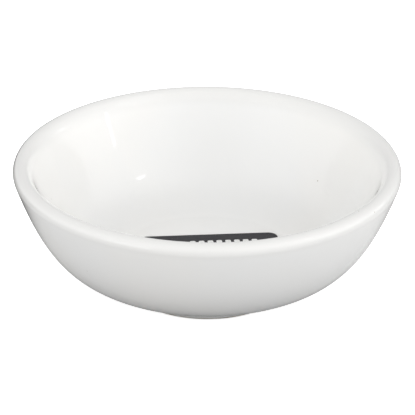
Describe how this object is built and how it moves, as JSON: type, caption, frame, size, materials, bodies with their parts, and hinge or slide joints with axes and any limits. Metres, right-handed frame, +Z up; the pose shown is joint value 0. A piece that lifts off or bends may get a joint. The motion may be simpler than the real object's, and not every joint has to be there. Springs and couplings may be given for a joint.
{
  "type": "evaporating dish",
  "caption": "Round shallow porcelain evaporating dish with a rounded lip, a flat floor, a low foot ring and an adhesive label inside, for heating liquids on a laboratory bench.",
  "frame": {"origin": "on the table, at the centre of the foot ring", "axes": "+Z up along the axis of the dish; the label's long side runs along +X, turned a few degrees about +Z"},
  "size_m": [0.1, 0.1, 0.035],
  "materials": {
    "biscuit": "matte",
    "glaze": "gloss",
    "label_paper": "satin",
    "label_ink": "satin"
  },
  "bodies": {
    "root": {"porcelain_body": "biscuit", "glaze_coat": "glaze", "base_glaze": "glaze", "label_backing": "label_paper", "label_print": "label_ink"}
  },
  "joints": []
}
